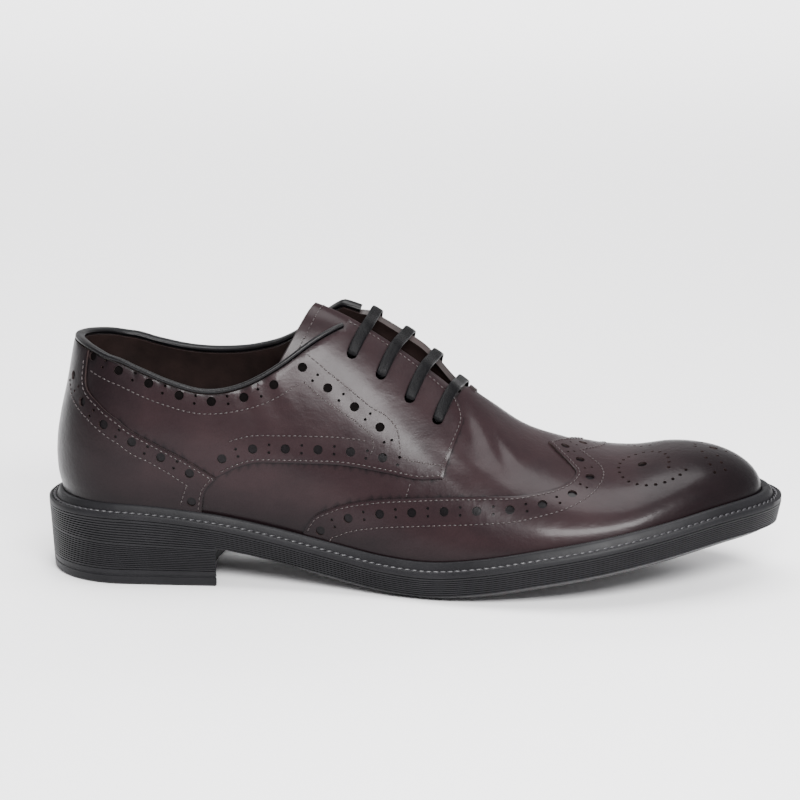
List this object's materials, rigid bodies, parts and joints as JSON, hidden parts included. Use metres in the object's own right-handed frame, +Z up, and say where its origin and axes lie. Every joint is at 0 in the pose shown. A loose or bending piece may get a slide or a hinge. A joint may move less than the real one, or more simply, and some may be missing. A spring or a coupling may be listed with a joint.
{
  "type": "brogue",
  "caption": "leather wingtip brogue, open lacing, storm welt, low stacked rubber heel, empty and standing on its sole",
  "frame": {"origin": "on the floor, under the centre of the bounding box", "axes": "+X points to the toe, +Z is up, +Y points to the inner side of the foot"},
  "size_m": [0.3, 0.105, 0.1106],
  "materials": {
    "leather": "polished burgundy calf leather, burnished to black at the toe, heel and edges",
    "sole_rubber": "black satin rubber",
    "lining": "dark brown matt lining leather",
    "trim": "black satin binding",
    "cord": "black waxed cotton"
  },
  "bodies": {
    "root": {"outsole": "sole_rubber", "heel_stack": "sole_rubber", "heel_top_lift": "sole_rubber", "welt": "sole_rubber", "insole": "lining", "upper": "leather", "collar_binding": "trim", "tongue": "leather", "lace": "cord"}
  },
  "joints": []
}
